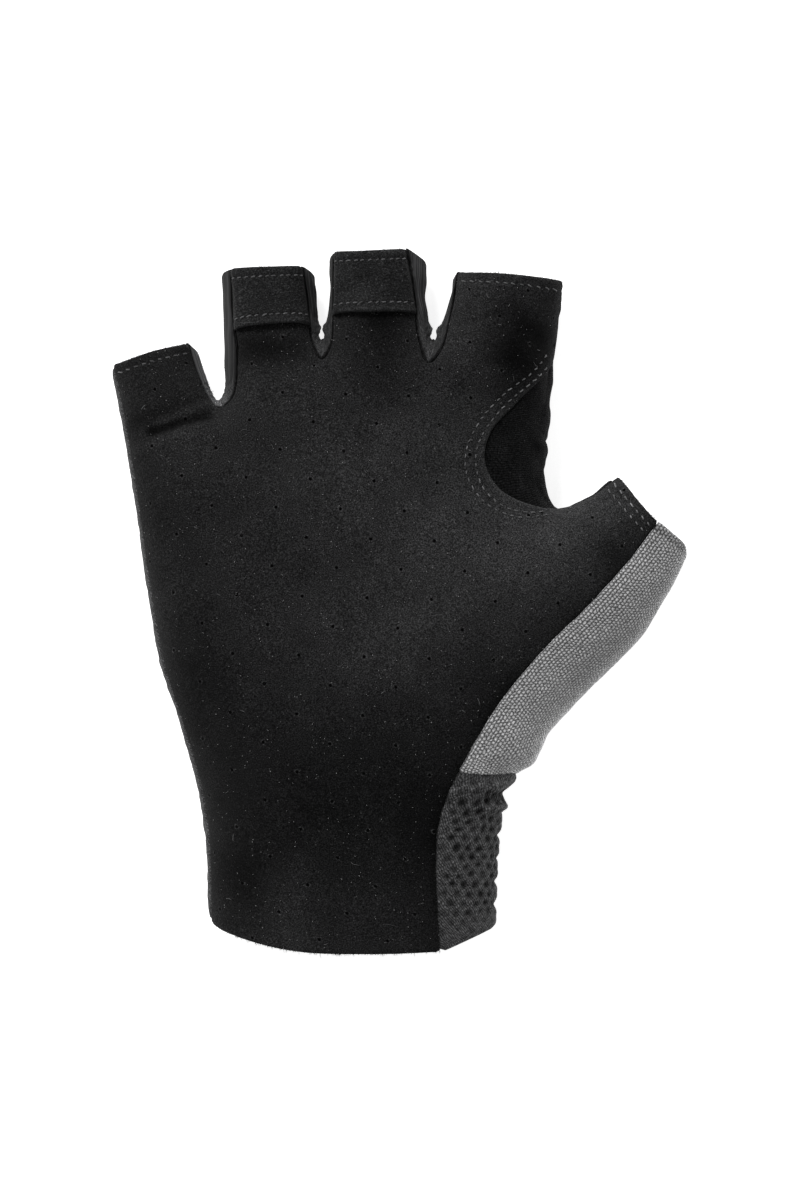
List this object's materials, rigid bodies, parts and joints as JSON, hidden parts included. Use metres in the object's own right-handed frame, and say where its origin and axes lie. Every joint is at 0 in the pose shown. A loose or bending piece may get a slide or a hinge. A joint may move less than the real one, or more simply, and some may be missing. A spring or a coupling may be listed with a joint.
{
  "type": "fingerless cycling glove",
  "caption": "Right-hand fingerless cycling glove with perforated suede palm, mesh back, woven thumb side and two pull tabs, lying palm up.",
  "frame": {"origin": "bottom centre of the glove's bounding box, as it lies on its back", "axes": "+X towards the thumb side, +Y from the cuff to the fingers, +Z out of the palm"},
  "size_m": [0.1334, 0.1616, 0.0309],
  "materials": {
    "palm_suede": "matt perforated microsuede, black",
    "tab_suede": "matt microsuede, black, folded and stitched edges",
    "back_mesh": "knitted spacer mesh with oval dimples, black",
    "thumb_woven": "plain woven towelling-backed cloth, mid grey",
    "crotch_stretch": "smooth stretch jersey, black",
    "fourchette_stretch": "fine ribbed stretch jersey, black",
    "thread": "twisted sewing thread, dark grey"
  },
  "bodies": {
    "root": {"palm_panel": "palm_suede", "back_panel": "back_mesh", "thumb_panel": "thumb_woven", "crotch_panel": "crotch_stretch", "fourchette_little_ring": "fourchette_stretch", "fourchette_ring_middle": "fourchette_stretch", "fourchette_middle_index": "fourchette_stretch", "pull_tab_ring": "tab_suede", "pull_tab_middle": "tab_suede"}
  },
  "joints": []
}
